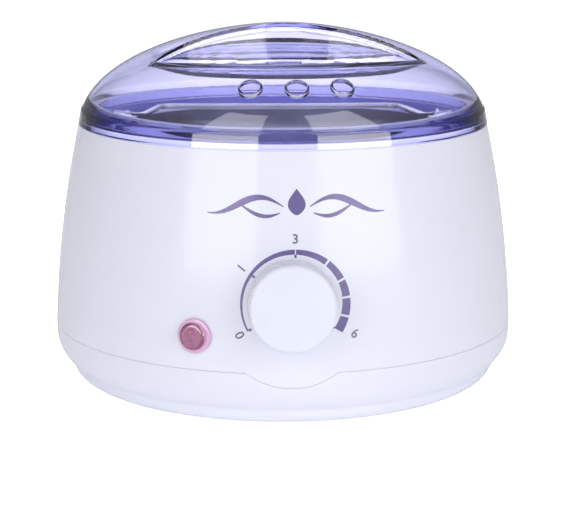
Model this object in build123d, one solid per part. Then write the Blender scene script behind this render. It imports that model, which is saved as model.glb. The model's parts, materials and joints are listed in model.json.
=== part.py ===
from build123d import *
import math
import os

# Wax warmer pot: a round heated casing, a lift-out aluminium wax pot with a wire
# bail, and a loose transparent lid. Millimetres, +Z up, front is -Y, and the
# origin is on the table under the centre of the casing.

# ---- casing ----
FOOT_H = 1.5            # rubber feet stand this far below the casing's edge
WALL = 2.5              # moulded wall of both casing halves
SEAM_Z = 22.1           # where the base tray meets the casing
SEAM_R = 90.0
JOINT_Z = 99.5          # ledge that carries the lid
JOINT_R = 79.6
WALL_BOW = 1.75         # how far the tapering wall bulges out past a straight cone
TONGUE_HALF = 16.4      # the casing dips into the tray under the knob
TONGUE_DIP = 5.4
GAP = 0.15              # shut line between casing and tray
TRAY_ROUND_R = 15.5     # the tray's side rolls in towards the foot ring
TRAY_ROUND_Z = 19.0
CREASE = (84.3, 7.0)    # soft step above the foot ring
RING_TOP = (83.9, 6.3)
RING_MID = (82.8, 3.2)
RING_EDGE_R = 80.6
UNDERSIDE_R = 78.2      # recessed panel under the tray
UNDERSIDE_Z = 3.0
FLOOR_Z = 5.2           # inside of the tray's floor
LIP_R = 87.1            # inner lip that lines up the two halves
LIP_TOP_Z = 25.5
LEDGE_R = 76.9          # the lid's locating ring stands inside the ledge
RING_IN_R = 75.3
RING_Z = 101.3
DECK_Z = 96.8           # deck round the mouth of the well
DECK_T = 2.4
MOUTH_R = 66.0
CURTAIN_Z = 88.0

# ---- heating well and wax pot ----
WELL_R = 64.1
WELL_T = 0.9
WELL_FLOOR_Z = 26.0
WELL_FLANGE_R = 71.0
WELL_FLANGE_Z = 95.9
WELL_ROUND = 8.8
POT_R = 62.4
POT_T = 0.8
POT_FLOOR_Z = 26.4
POT_ROUND = 8.0
POT_RIM_Z = 98.3
POT_BEAD_R = 67.2
POT_BEAD = 1.0          # radius of the rolled edge
BAIL_WIRE_R = 1.25
BAIL_Z = 100.4
BAIL_CORNER = (49.5, 43.5)
BAIL_LEG_X = 57.6
BAIL_END_X = 63.2
BAIL_BEND = 6.0
EAR_X = 60.1            # inner face of the two bail ears
EAR_T = 1.0
EAR_HALF = 6.0
EAR_FOOT_Z = 87.5

# ---- lid ----
LID_Z = 99.7
LID_TOP_Z = 137.6
LID_R = 79.95
LID_BASE_Z = 95.0
LID_POWER_R = 1.69
LID_POWER_Z = 2.35
LID_T = 2.2
LID_TURN = 2.3          # the loose lid sits this far off square
LID_FLANGE_R = 74.9     # flange that drops inside the casing's locating ring
LID_FLANGE_T = 3.0
LID_FLANGE_Z = 97.6
LID_BELT_Z = 102.3       # above the locating ring, flange and skirt are one thick belt
LID_BELT_TOP_Z = 106.0
SKIRT_Z = 106.2         # crease between the skirt and the dome
SKIRT_STEP = 0.7
SCOOP_FLOOR_Z = 122.5
SCOOP_FLAT = 33.0       # half-width of the scoop's flat floor
SCOOP_END = (54.0, 125.6)
GRIP_HALF = 4.4         # half-width of the grip ridge at its waist
GRIP_SIDE_R = 84.7
GRIP_DRAFT = 0.24       # the ridge's sides spread by this much per mm of depth
SCOOP_LIP_R = 61.0
SCOOP_LIP_Y = 9.0
VENT_R = 3.6
VENT_RING_R = 65.7
VENT_STEP = 14.5

# ---- front panel ----
KNOB_Z = 46.7
KNOB_R = 15.9
KNOB_H = 12.4
KNOB_GAP = 0.6
KNOB_RIBS = 72
SHAFT_R = 3.0
LAMP_ANGLE = -22.5
LAMP_Z = 34.4
INLET_Z = 36.0
INLET_BORE_R = 3.3
INLET_SNOUT = 11.0

CONTROL_SCREW_X = 9.5
LAMP_BARREL_R = 4.9

# ---- fixings and inner parts ----
CASE_SCREW_R = 74.0
CASE_BEARINGS = (45, 135, 225, 315)
FOOT_RING_R = 62.0
SHIELD_POST_R = 50.0
SHIELD_BEARINGS = (0, 120, 240)
SHIELD_Z = 19.4
WELL_SCREW_R = 68.9
WELL_BEARINGS = (60, 180, 300)
EAR_RIVETS = ((-3.4, 91.5), (3.4, 91.5))
HEATER_LOW = 44.0
HEATER_HIGH = 74.0
HEATER_T = 2.0
BAND_T = 0.6
TERMINAL_Y = 67.0
WIRE_R = 1.1
CHANNEL_R = 78.0        # wires run round the channel between the well and the wall
CHANNEL_Z = 38.5

BOTTOM = (Align.CENTER, Align.CENTER, Align.MIN)

# The wall is one long arc from the seam to the ledge.
chord_r = SEAM_R - JOINT_R
chord_z = JOINT_Z - SEAM_Z
chord = math.hypot(chord_r, chord_z)
bow_radius = chord ** 2 / (8 * WALL_BOW) + WALL_BOW / 2
bow_centre_r = (SEAM_R + JOINT_R) / 2 - (bow_radius - WALL_BOW) * chord_z / chord
bow_centre_z = (SEAM_Z + JOINT_Z) / 2 - (bow_radius - WALL_BOW) * chord_r / chord


def wall_radius(z, inset=0.0):
    """Radius of the casing's outer wall at height z, or of a surface inside it."""
    return bow_centre_r + math.sqrt((bow_radius - inset) ** 2 - (z - bow_centre_z) ** 2)


def wall_plane(bearing, z):
    """Plane lying on the outer wall. Bearing 0 is the front and grows towards +X."""
    turn = math.radians(bearing)
    tilt = math.asin((z - bow_centre_z) / bow_radius)
    radius = wall_radius(z)
    outward = Vector(math.sin(turn), -math.cos(turn), 0)
    normal = outward * math.cos(tilt) + Vector(0, 0, math.sin(tilt))
    return Plane(origin=outward * radius + Vector(0, 0, z),
                 x_dir=(math.cos(turn), math.sin(turn), 0), z_dir=normal)


def turned(*edges):
    """Solid of revolution about Z from the edges of a closed (radius, z) outline."""
    outline = edges[0]
    for edge in edges[1:]:
        outline = outline + edge
    return revolve(make_face(Plane.XZ * outline), Axis.Z)


def ring(inner, outer, low, high):
    """Plain turned ring, or a disc when inner is 0."""
    return turned(Polyline((inner, low), (outer, low), (outer, high), (inner, high), close=True))


def post(radius, low, high):
    """Upright cylinder between two heights."""
    return Pos(0, 0, low) * Cylinder(radius, high - low, align=BOTTOM)


def block(length, width, low, high):
    """Upright box, centred on Z."""
    return Pos(0, 0, low) * Box(length, width, high - low, align=BOTTOM)


def around(shape, radius, bearings):
    """Copies of a shape made at the origin, stood at a radius on several bearings."""
    return [Rot(0, 0, b) * Pos(0, -radius, 0) * shape for b in bearings]


def screw(shank, head, length, head_h):
    """Pan-head screw pointing up, with a cross recess in the head."""
    body = post(head, 0, head_h) + post(shank, head_h, length)
    cross = Box(head * 1.2, head * 0.28, head_h) + Box(head * 0.28, head * 1.2, head_h)
    return body - cross


def save(name, shape):
    """Write one sub-part, as a group where it is several separate solids."""
    if isinstance(shape, (list, tuple)):
        solids = [s for item in shape for s in item.solids()]
        shape = Compound(children=solids)
    export_step(shape, "parts/" + name + ".step")


# ---- casing halves ----

def tongue_prism(gap=0.0):
    """Upright slab whose lower edge is the smile-shaped dip at the front."""
    half = TONGUE_HALF + gap
    low = SEAM_Z - TONGUE_DIP - gap
    outline = ThreePointArc((-half, SEAM_Z), (0, low), (half, SEAM_Z))
    outline = outline + Polyline((half, SEAM_Z), (half, SEAM_Z + 1), (-half, SEAM_Z + 1),
                                 (-half, SEAM_Z))
    return extrude(make_face(Plane.XZ * outline), SEAM_R + 5)


def tray_outside(top):
    """Solid outer form of the tray, from the foot ring to a height above the seam."""
    roll_r = SEAM_R - TRAY_ROUND_R
    mid_angle = math.radians(-25)
    mid = (roll_r + TRAY_ROUND_R * math.cos(mid_angle),
           TRAY_ROUND_Z + TRAY_ROUND_R * math.sin(mid_angle))
    return turned(
        Line((0, FOOT_H), (RING_EDGE_R, FOOT_H)),
        ThreePointArc((RING_EDGE_R, FOOT_H), RING_MID, RING_TOP),
        Line(RING_TOP, CREASE),
        ThreePointArc(CREASE, mid, (SEAM_R, TRAY_ROUND_Z)),
        Polyline((SEAM_R, TRAY_ROUND_Z), (SEAM_R, top), (0, top), (0, FOOT_H)))


def tray_inside(top):
    """The hollow of the tray."""
    roll_r = SEAM_R - TRAY_ROUND_R
    inner = TRAY_ROUND_R - WALL
    low_z = CREASE[1] + 1
    low_r = roll_r + math.sqrt(inner ** 2 - (TRAY_ROUND_Z - low_z) ** 2)
    mid_angle = math.radians(-25)
    mid = (roll_r + inner * math.cos(mid_angle), TRAY_ROUND_Z + inner * math.sin(mid_angle))
    return turned(
        Polyline((0, top), (0, FLOOR_Z), (low_r, FLOOR_Z), (low_r, low_z)),
        ThreePointArc((low_r, low_z), mid, (SEAM_R - WALL, TRAY_ROUND_Z)),
        Polyline((SEAM_R - WALL, TRAY_ROUND_Z), (SEAM_R - WALL, top), (0, top)))


def make_base_tray():
    """Lower casing: foot ring, floor with vents, screw bosses and shield posts."""
    tray = tray_outside(SEAM_Z - GAP) - tray_inside(SEAM_Z)
    tray -= post(UNDERSIDE_R, 0, UNDERSIDE_Z)
    tray += ring(SEAM_R - WALL - 1.6, LIP_R, TRAY_ROUND_Z - 3, LIP_TOP_Z)
    tray += ring(LIP_R - 0.1, SEAM_R - WALL + 0.1, TRAY_ROUND_Z - 3, TRAY_ROUND_Z - 0.5)
    shutter = tongue_prism(GAP) - ring(0, LIP_R, 0, JOINT_Z)
    tray -= shutter
    tray = tray + around(post(5.0, FLOOR_Z - 1, SEAM_Z - GAP), CASE_SCREW_R, CASE_BEARINGS)
    tray = tray + around(post(4.0, FLOOR_Z - 1, SHIELD_Z - 0.1), SHIELD_POST_R, SHIELD_BEARINGS)
    tray = tray - around(post(3.6, 0, 8.0), CASE_SCREW_R, CASE_BEARINGS)
    tray = tray - around(post(2.0, 0, SEAM_Z), CASE_SCREW_R, CASE_BEARINGS)
    tray = tray - around(post(1.4, SHIELD_Z - 10, SHIELD_Z), SHIELD_POST_R, SHIELD_BEARINGS)
    tray = tray - around(post(3.05, 0, FLOOR_Z + 1), FOOT_RING_R, CASE_BEARINGS)
    slot = Pos(0, 0, UNDERSIDE_Z - 1) * extrude(SlotOverall(13, 2.6, rotation=90), 5)
    tray = tray - around(slot, 35, range(9, 360, 18))
    return tray


def make_casing():
    """Upper casing: bowed wall, lid ledge, locating ring, deck and screw bosses."""
    mid_z = (SEAM_Z + JOINT_Z) / 2
    inner_top = DECK_Z - DECK_T
    casing = turned(
        Line((0, SEAM_Z), (SEAM_R, SEAM_Z)),
        ThreePointArc((SEAM_R, SEAM_Z), (wall_radius(mid_z), mid_z), (JOINT_R, JOINT_Z)),
        Polyline((JOINT_R, JOINT_Z), (LEDGE_R, JOINT_Z), (LEDGE_R, RING_Z),
                 (RING_IN_R, RING_Z), (RING_IN_R, DECK_Z), (0, DECK_Z), (0, SEAM_Z)))
    low_r = wall_radius(SEAM_Z, WALL)
    casing -= turned(
        ThreePointArc((low_r, SEAM_Z - 1), (wall_radius(mid_z, WALL), mid_z),
                      (wall_radius(inner_top, WALL), inner_top)),
        Polyline((wall_radius(inner_top, WALL), inner_top), (MOUTH_R + 2, inner_top),
                 (MOUTH_R + 2, CURTAIN_Z), (0, CURTAIN_Z), (0, SEAM_Z - 1), (low_r, SEAM_Z - 1)))
    casing -= post(MOUTH_R, 0, JOINT_Z)
    casing -= post(WELL_FLANGE_R + 0.3, WELL_FLANGE_Z - 0.1, JOINT_Z)
    tongue = (tray_outside(SEAM_Z) - ring(0, SEAM_R - WALL, 0, SEAM_Z)) & tongue_prism()
    casing += tongue
    boss = post(5.0, SEAM_Z, 34) + Pos(0, -9, 0) * block(2.0, 9.5, LIP_TOP_Z + 0.5, 34)
    casing = casing + around(boss, CASE_SCREW_R, CASE_BEARINGS)
    casing = casing - around(post(1.6, SEAM_Z - 1, 31), CASE_SCREW_R, CASE_BEARINGS)
    well_boss = post(3.4, DECK_Z - 10, DECK_Z - DECK_T)
    casing = casing + around(well_boss, WELL_SCREW_R + 1.0, WELL_BEARINGS)
    casing = casing - around(post(1.25, DECK_Z - 9, DECK_Z), WELL_SCREW_R, WELL_BEARINGS)
    front = wall_plane(0, KNOB_Z)
    casing -= front * post(SHAFT_R + 0.6, -5, 5)
    casing = casing - [front * (Pos(s * CONTROL_SCREW_X, 0, 0) * post(1.6, -5, 5))
                       for s in (-1, 1)]
    casing -= wall_plane(LAMP_ANGLE, LAMP_Z) * post(LAMP_BARREL_R + 0.1, -6, 4)
    casing -= wall_plane(180, INLET_Z) * post(6.1, -6, 4)
    return casing


def make_feet():
    """Four rubber feet: a pad under the tray and a stem pushed through its floor."""
    foot = post(7.0, 0, UNDERSIDE_Z) + post(3.0, 1, FLOOR_Z)
    foot += ring(0, 3.9, FLOOR_Z + 0.1, FLOOR_Z + 1.1) + post(3.0, FLOOR_Z - 1, FLOOR_Z + 0.5)
    foot = fillet(foot.edges().group_by(Axis.Z)[0], 0.8)
    return around(foot, FOOT_RING_R, CASE_BEARINGS)


# ---- heating well ----

def cup(radius, wall, floor_z, corner, top):
    """Thin round cup with a rounded floor corner, its floor's underside at floor_z."""
    turn = math.radians(-45)
    centre = (radius - corner, floor_z + corner)

    def side(shift):
        """Outline of the outer (shift 0) or inner (shift = wall) skin, from axis to rim."""
        r = radius - shift
        low = floor_z + shift
        inner = corner - shift
        mid = (centre[0] + inner * math.cos(turn), centre[1] + inner * math.sin(turn))
        return (Line((0, low), (centre[0], low))
                + ThreePointArc((centre[0], low), mid, (r, centre[1]))
                + Line((r, centre[1]), (r, top)))

    return turned(side(0), Line((radius, top), (radius - wall, top)), side(wall),
                  Line((0, floor_z), (0, floor_z + wall)))


def make_heating_well():
    """Fixed aluminium cup that carries the heater; its flange sits in the deck."""
    well = cup(WELL_R, WELL_T, WELL_FLOOR_Z - WELL_T, WELL_ROUND + WELL_T, WELL_FLANGE_Z)
    well += ring(WELL_R - WELL_T, WELL_FLANGE_R, WELL_FLANGE_Z, WELL_FLANGE_Z + 0.8)
    return well - around(post(1.7, WELL_FLANGE_Z - 1, DECK_Z), WELL_SCREW_R, WELL_BEARINGS)


def make_well_screws():
    """Three flat screws that hold the well's flange to the deck."""
    head = post(1.65, WELL_FLANGE_Z - 0.05, WELL_FLANGE_Z + 0.85)
    return around(head + post(1.2, DECK_Z - 8.5, WELL_FLANGE_Z), WELL_SCREW_R, WELL_BEARINGS)


def make_heater_band():
    """Flat mica heater wrapped round the well, with a gap at the back."""
    inner = WELL_R + 0.05
    band = ring(inner, inner + HEATER_T, HEATER_LOW, HEATER_HIGH)
    return band - Pos(0, WELL_R, 0) * block(8, 20, HEATER_LOW - 1, HEATER_HIGH + 1)


def make_clamp_band():
    """Steel strap that pulls the heater onto the well, with two turned-out lugs."""
    inner = WELL_R + HEATER_T + 0.1
    strap = ring(inner, inner + BAND_T, HEATER_LOW + 5, HEATER_HIGH - 5)
    strap -= Pos(0, WELL_R, 0) * block(6, 20, HEATER_LOW, HEATER_HIGH)
    for side in (-1, 1):
        lug = Pos(side * 3.4, inner + 5.0, 0) * block(0.8, 10.0, HEATER_LOW + 5, HEATER_HIGH - 5)
        hole = Pos(side * 3.4, inner + 6.5, 59) * Rot(0, 90, 0) * Cylinder(1.7, 4)
        strap += lug - hole
    return strap


def make_clamp_screw():
    """Screw and nut that close the strap's two lugs."""
    y = WELL_R + HEATER_T + 0.1 + 6.5
    bolt = Rot(0, 90, 0) * (post(1.5, -7, 7) + post(2.8, -6.5, -4.0))
    nut = Rot(0, 90, 0) * extrude(Pos(0, 0, 4.0) * RegularPolygon(3.1, 6), 2.4)
    return Pos(0, y, 59) * (bolt + nut)


def make_insulation():
    """Glass-fibre blanket round the heater, open at the back lugs and the control."""
    inner = WELL_R + HEATER_T + BAND_T + 0.3
    blanket = ring(inner, inner + 2.6, 34, 74.5)
    blanket -= Pos(0, WELL_R + 8, 0) * block(26, 24, 40, 80)
    blanket -= Pos(0, -WELL_R - 8, 0) * block(40, 24, 30, 66)
    return blanket


def make_heat_shield():
    """Flat steel plate between the hot well and the tray."""
    plate = ring(0, 58, SHIELD_Z, SHIELD_Z + 0.8)
    plate = plate - around(post(1.7, 0, 30), SHIELD_POST_R, SHIELD_BEARINGS)
    return plate - around(post(2.5, 0, 30), 30, range(0, 360, 45))


def make_shield_screws():
    """Three screws that hold the shield on its posts, heads up."""
    one = Pos(0, 0, SHIELD_Z + 0.8 + 2.0) * Rot(180, 0, 0) * screw(1.35, 2.8, 9.5, 2.0)
    return around(one, SHIELD_POST_R, SHIELD_BEARINGS)


# ---- wax pot ----

def make_pot():
    """Lift-out aluminium pot with a flat flange and a rolled edge."""
    pot = cup(POT_R, POT_T, POT_FLOOR_Z, POT_ROUND, POT_RIM_Z - POT_T)
    pot += ring(POT_R - POT_T, POT_BEAD_R, POT_RIM_Z - POT_T, POT_RIM_Z)
    bead = Pos(POT_BEAD_R, 0, POT_RIM_Z - POT_T / 2) * Rot(90, 0, 0) * Circle(POT_BEAD)
    pot += revolve(bead, Axis.Z)
    for y, z in EAR_RIVETS:
        pot -= Pos(0, y, z) * Rot(0, 90, 0) * Cylinder(1.55, 2 * POT_R + 10)
    return pot


def make_ears():
    """Two pressed tabs inside the rim, each with a hole for one end of the bail."""
    outline = Polyline((-EAR_HALF, EAR_FOOT_Z), (EAR_HALF, EAR_FOOT_Z), (3.4, BAIL_Z),
                       (-3.4, BAIL_Z), close=True)
    tab = make_face(outline) + Pos(0, BAIL_Z) * Circle(3.4)
    tab = tab - Pos(0, BAIL_Z) * Circle(BAIL_WIRE_R + 0.1)
    tab = tab - [Pos(y, z) * Circle(1.5) for y, z in EAR_RIVETS]
    ear = extrude(Plane.YZ * tab, EAR_T)
    return [Pos(EAR_X, 0, 0) * ear, Pos(-EAR_X - EAR_T, 0, 0) * ear]


def make_rivets():
    """Four flush rivets that hold the ears to the pot's wall."""
    rivets = []
    for y, z in EAR_RIVETS:
        reach = math.sqrt(POT_R ** 2 - (abs(y) + 1.45) ** 2)
        one = post(1.45, EAR_X - 0.2, reach) + post(2.6, EAR_X - 1.2, EAR_X)
        one = fillet(one.edges().group_by(Axis.Z)[0], 0.6)
        for turn in (90, -90):
            rivets.append(Pos(0, y, z) * Rot(0, turn, 0) * one)
    return rivets


def make_bail():
    """Wire carrying handle, folded back on the rim, its ends hooked out through the ears."""
    x, y = BAIL_CORNER
    path = FilletPolyline((BAIL_END_X, 0), (BAIL_LEG_X, 0), (x, y), (-x, y),
                          (-BAIL_LEG_X, 0), (-BAIL_END_X, 0),
                          radius=[2.2, BAIL_BEND, BAIL_BEND, 2.2])
    path = Pos(0, 0, BAIL_Z) * path
    section = Plane(origin=(BAIL_END_X, 0, BAIL_Z), z_dir=(-1, 0, 0)) * Circle(BAIL_WIRE_R)
    return sweep(section, path=path)


# ---- lid ----

def dome_radius(z):
    """Radius of the lid's dome at height z."""
    rise = (z - LID_BASE_Z) / (LID_TOP_Z - LID_BASE_Z)
    return LID_R * (1 - rise ** LID_POWER_Z) ** (1 / LID_POWER_R)


def dome_height(r):
    """Height of the lid's dome at radius r."""
    share = (1 - (r / LID_R) ** LID_POWER_R) ** (1 / LID_POWER_Z)
    return LID_BASE_Z + (LID_TOP_Z - LID_BASE_Z) * share


def dome_form(inset):
    """Solid dome with its stepped skirt, or the same form inset by the wall."""
    crown = [(r, dome_height(r)) for r in (0, 12, 24, 36, 48, 58, 66, 72, 76)]
    crown.append((dome_radius(SKIRT_Z), SKIRT_Z))
    curve = Spline(crown, tangents=[(1, 0), (0.25, -1)])
    foot_r = dome_radius(LID_Z)
    low = LID_Z - inset
    profile = curve + Polyline(crown[-1], (crown[-1][0] + SKIRT_STEP, SKIRT_Z - 0.9),
                               (foot_r, LID_Z), (0, LID_Z), (0, LID_TOP_Z))
    if inset == 0:
        return turned(profile)
    inner = [(0, LID_TOP_Z - inset)]
    inner += [(r - inset * slope_r(r), z - inset * slope_z(r)) for r, z in crown[1:-1]]
    inner.append((foot_r - inset - 0.9, SKIRT_Z))
    curve = Spline(inner, tangents=[(1, 0), (0.25, -1)])
    return turned(curve, Polyline(inner[-1], (foot_r - inset, LID_Z), (foot_r - inset, low),
                                  (0, low), inner[0]))


def slope_z(r):
    """Upward part of the dome's unit normal at radius r."""
    step = 0.01
    fall = (dome_height(r) - dome_height(r + step)) / step
    return 1 / math.hypot(1, fall)


def slope_r(r):
    """Outward part of the dome's unit normal at radius r."""
    return math.sqrt(1 - slope_z(r) ** 2)


def scoop(grow):
    """The half-moon hollow in front of the grip ridge, or its skin when grow > 0."""
    floor = SCOOP_FLOOR_Z - grow
    depth = LID_TOP_Z + 4 - floor
    top_r = GRIP_SIDE_R + grow + GRIP_DRAFT * 4
    low_r = GRIP_SIDE_R + grow - GRIP_DRAFT * (LID_TOP_Z - floor)
    behind = Pos(0, -GRIP_HALF - GRIP_SIDE_R, floor) * Cone(low_r, top_r, depth, align=BOTTOM)
    lip = Pos(0, SCOOP_LIP_Y, floor) * Cylinder(SCOOP_LIP_R + grow, depth, align=BOTTOM)
    end_x, end_z = SCOOP_END
    end_z -= grow
    rise = end_z - floor
    bend_x = (SCOOP_FLAT + end_x) / 2 + 2
    side = Polyline((0, floor), (SCOOP_FLAT, floor)) + ThreePointArc(
        (SCOOP_FLAT, floor), (bend_x, floor + rise * 0.22), (end_x + grow, end_z))
    side = side + Polyline((end_x + grow, end_z), (end_x + grow, floor + depth), (0, floor + depth),
                           (0, floor))
    half = extrude(make_face(Plane.XZ * side), 80)
    return behind & lip & (half + mirror(half, Plane.YZ))


def lid_flange(dome):
    """Locating flange inside the casing's ring, and the belt that joins it to the skirt."""
    inner = LID_FLANGE_R - LID_FLANGE_T
    flange = ring(inner, LID_FLANGE_R, LID_FLANGE_Z, LID_BELT_Z)
    belt = ring(inner, LID_R, LID_BELT_Z, LID_BELT_TOP_Z) & dome
    return flange + belt


def make_lid():
    """Loose transparent lid: dome, two finger scoops, grip ridge, vents and flange."""
    hollow = dome_form(LID_T)
    solid = dome_form(0)
    flange = lid_flange(solid)
    for turn in (0, 180):
        solid -= Rot(0, 0, turn) * scoop(0)
        hollow -= Rot(0, 0, turn) * scoop(LID_T)
    lid = solid - hollow + flange
    lean = math.degrees(math.asin(slope_r(VENT_RING_R)))
    for step in (-1, 0, 1):
        at = Rot(0, 0, step * VENT_STEP) * Pos(0, -VENT_RING_R, dome_height(VENT_RING_R))
        lid -= at * Rot(lean, 0, 0) * Cylinder(VENT_R, 12)
    return Rot(0, 0, LID_TURN) * lid


# ---- temperature control ----

def make_knob():
    """Turning knob: ribbed rim, faintly domed face, hollow back with a D-bored hub."""
    teeth = []
    for i in range(2 * KNOB_RIBS):
        turn = math.pi * i / KNOB_RIBS
        r = KNOB_R if i % 2 else KNOB_R - 0.35
        teeth.append((r * math.cos(turn), r * math.sin(turn)))
    rim = extrude(make_face(Polyline(*teeth, close=True)), KNOB_H)
    edge = 1.6
    crown = 0.7
    face_r = KNOB_R - 0.6
    form = turned(
        Polyline((0, 0), (KNOB_R + 0.2, 0), (face_r, KNOB_H - edge - crown)),
        ThreePointArc((face_r, KNOB_H - edge - crown),
                      (face_r - edge * 0.293, KNOB_H - crown - edge * 0.293),
                      (face_r - edge, KNOB_H - crown)),
        ThreePointArc((face_r - edge, KNOB_H - crown), (face_r / 2, KNOB_H - crown * 0.25),
                      (0, KNOB_H)),
        Line((0, KNOB_H), (0, 0)))
    knob = (rim & form) - ring(5.6, KNOB_R - 2.2, -1, KNOB_H - 2.6)
    flat = Pos(0, SHAFT_R - 0.46 + 5, 0) * block(10, 10, -1, 9)
    knob -= post(SHAFT_R + 0.02, -1, 9) - flat
    knob -= ring(4.5, 6.5, -1, 3.0)
    return wall_plane(0, KNOB_Z) * Pos(0, 0, KNOB_GAP) * knob


def make_knob_clip():
    """Spring ring that grips the knob's split hub onto the shaft."""
    clip = ring(4.6, 5.3, 0.2, 2.6) - Pos(0, -5, 0) * block(3, 6, 0, 4)
    return wall_plane(0, KNOB_Z) * Pos(0, 0, KNOB_GAP) * clip


def make_shaft():
    """Control shaft with a flat for the knob."""
    shaft = post(SHAFT_R, -11.5, KNOB_GAP + 8.5)
    flat = Pos(0, SHAFT_R - 0.48 + 5, 0) * block(10, 10, -0.5, 12)
    return wall_plane(0, KNOB_Z) * (shaft - flat)


def make_thermostat_frame():
    """Steel plate behind the panel, with the bush the shaft turns in."""
    plate = block(27, 15, -4.9, -3.9) + post(5.0, -6.95, -4.9)
    plate -= post(SHAFT_R + 0.05, -8, 0)
    plate = plate - [Pos(s * CONTROL_SCREW_X, 0, 0) * post(1.3, -6, 0) for s in (-1, 1)]
    return wall_plane(0, KNOB_Z) * plate


def make_thermostat_body():
    """Ceramic body of the adjustable thermostat, hollow for the cam on the shaft."""
    body = block(24, 14, -15, -7.0) - post(SHAFT_R + 0.4, -12, -6)
    return wall_plane(0, KNOB_Z) * body


def make_bimetal():
    """Two-metal strip and contact leaf on the back of the thermostat."""
    strip = Pos(0, 3.5, 0) * block(22, 4, -16.0, -15.4)
    strip += Pos(-9, 3.5, 0) * post(1.6, -16, -15.0)
    return wall_plane(0, KNOB_Z) * (strip + Pos(9, 3.5, 0) * post(1.0, -16, -15.0))


def make_thermostat_tabs():
    """Two brass push-on tabs."""
    tab = block(8, 6.3, -10.4, -9.6)
    tab -= Pos(1.5, 0, 0) * post(0.8, -11, -9)
    plane = wall_plane(0, KNOB_Z)
    return [plane * Pos(16.0, 0, 0) * tab, plane * Pos(-16.0, 0, 0) * Rot(0, 0, 180) * tab]


def make_control_screws():
    """Two screws through the panel that hold the thermostat, hidden by the knob."""
    one = Rot(180, 0, 0) * screw(1.25, 2.4, 5.5, 0.9)
    plane = wall_plane(0, KNOB_Z)
    return [plane * Pos(s * CONTROL_SCREW_X, 0, 0.65) * one for s in (-1, 1)]


# ---- indicator lamp ----

def make_lamp_lens():
    """Clear tinted lens with a flange outside and a hollow barrel through the wall."""
    dome = post(5.0, 0.8, 3.2)
    dome = fillet(dome.edges().group_by(Axis.Z)[-1], 1.4)
    flange = post(6.2, 0.35, 1.3)
    flange = fillet(flange.edges().group_by(Axis.Z)[-1], 0.5)
    lens = dome + flange + post(LAMP_BARREL_R, -15, 1.0)
    return wall_plane(LAMP_ANGLE, LAMP_Z) * (lens - post(3.7, -16, 1.2))


def make_lamp_nut():
    """Push-on retainer that holds the lens from behind the wall."""
    nut = ring(LAMP_BARREL_R + 0.05, 7.4, -4.6, -3.4)
    return wall_plane(LAMP_ANGLE, LAMP_Z) * nut


def make_neon_bulb():
    """Small neon bulb with its two electrodes and lead ends."""
    bulb = post(2.8, -12, -2.5) + Pos(0, 0, -2.5) * Sphere(2.8)
    leads = [Pos(s * 1.2, 0, 0) * post(0.35, -20, -11.5) for s in (-1, 1)]
    return wall_plane(LAMP_ANGLE, LAMP_Z) * (bulb + leads)


# ---- mains side ----

def make_cord_inlet():
    """Rubber gland in the back wall that the mains cord passes through."""
    bush = post(6.0, -6.5, 1) + post(8.2, 0.5, 3.0) + post(7.6, -6.5, -4.6)
    bush += Pos(0, 0, 3.0) * Cone(6.2, 5.0, INLET_SNOUT - 3.0, align=BOTTOM)
    bush = bush - post(INLET_BORE_R, -8, INLET_SNOUT + 1)
    return wall_plane(180, INLET_Z) * bush


def make_terminal_block():
    """Two-way terminal block on the floor at the back."""
    body = block(20, 12, FLOOR_Z + 0.05, FLOOR_Z + 10)
    for side in (-1, 1):
        body -= Pos(side * 5, 0, FLOOR_Z + 5) * Rot(90, 0, 0) * Cylinder(1.9, 20)
        body -= Pos(side * 5, 0, 0) * post(1.7, FLOOR_Z + 6, FLOOR_Z + 12)
    return Pos(0, TERMINAL_Y, 0) * body


def make_terminal_screws():
    """Clamping screws in the terminal block."""
    one = post(1.6, FLOOR_Z + 6.95, FLOOR_Z + 9.5)
    return [Pos(side * 5, TERMINAL_Y, 0) * one for side in (-1, 1)]


def make_thermal_fuse():
    """Sleeved one-shot fuse lying against the well above the heater."""
    fuse = Cylinder(2.0, 12, rotation=(0, 90, 0)) + Cylinder(0.6, 26, rotation=(0, 90, 0))
    return Rot(0, 0, 40) * Pos(0, -WELL_R - 2.9, 80) * fuse


def make_fuse_clip():
    """Spring strip that presses the fuse to the well."""
    clip = ring(WELL_R + 0.05, WELL_R + 0.55, 75, 77.6)
    keep = Rot(0, 0, 40) * Pos(0, -WELL_R, 76) * Box(26, 20, 10)
    arm = Rot(0, 0, 40) * Pos(0, -WELL_R - 5.35, 79.2) * Box(6, 0.5, 7)
    foot = Rot(0, 0, 40) * Pos(0, -WELL_R - 2.7, 76.3) * Box(6, 5.8, 0.6)
    foot -= post(WELL_R + 0.06, 60, 90)
    return (clip & keep) + arm + foot


def wire_run(start, end, z, low=None, high=None):
    """Insulated wire round the channel between two bearings, with upright tails."""
    section = Pos(0, -CHANNEL_R, z) * (Rot(0, 90, 0) * Circle(WIRE_R))
    wire = Rot(0, 0, start) * revolve(section, Axis.Z, end - start)
    for bearing, far in ((start, low), (end, high)):
        if far is not None:
            tail = post(WIRE_R, min(z, far), max(z, far)) + Pos(0, 0, z) * Sphere(WIRE_R)
            wire = wire + around(tail, CHANNEL_R, (bearing,))
    return wire


def make_live_wire():
    """From the terminal block to the thermostat."""
    return wire_run(14, 165, CHANNEL_Z, 43, 17)


def make_neutral_wire():
    """From the terminal block to the heater's tail."""
    return wire_run(195, 300, CHANNEL_Z, 17, 60)


def make_switched_wire():
    """From the thermostat to the thermal fuse."""
    return wire_run(18.5, 55, CHANNEL_Z + 20, 50, 82)


def make_lamp_wire():
    """From the lamp to the heater's tail."""
    return wire_run(305, 330, CHANNEL_Z + 6, 60, 36)


def make_case_screws():
    """Four long screws up through the tray into the casing."""
    return around(Pos(0, 0, 6.2) * screw(1.55, 3.2, 24.0, 1.8), CASE_SCREW_R, CASE_BEARINGS)


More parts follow.
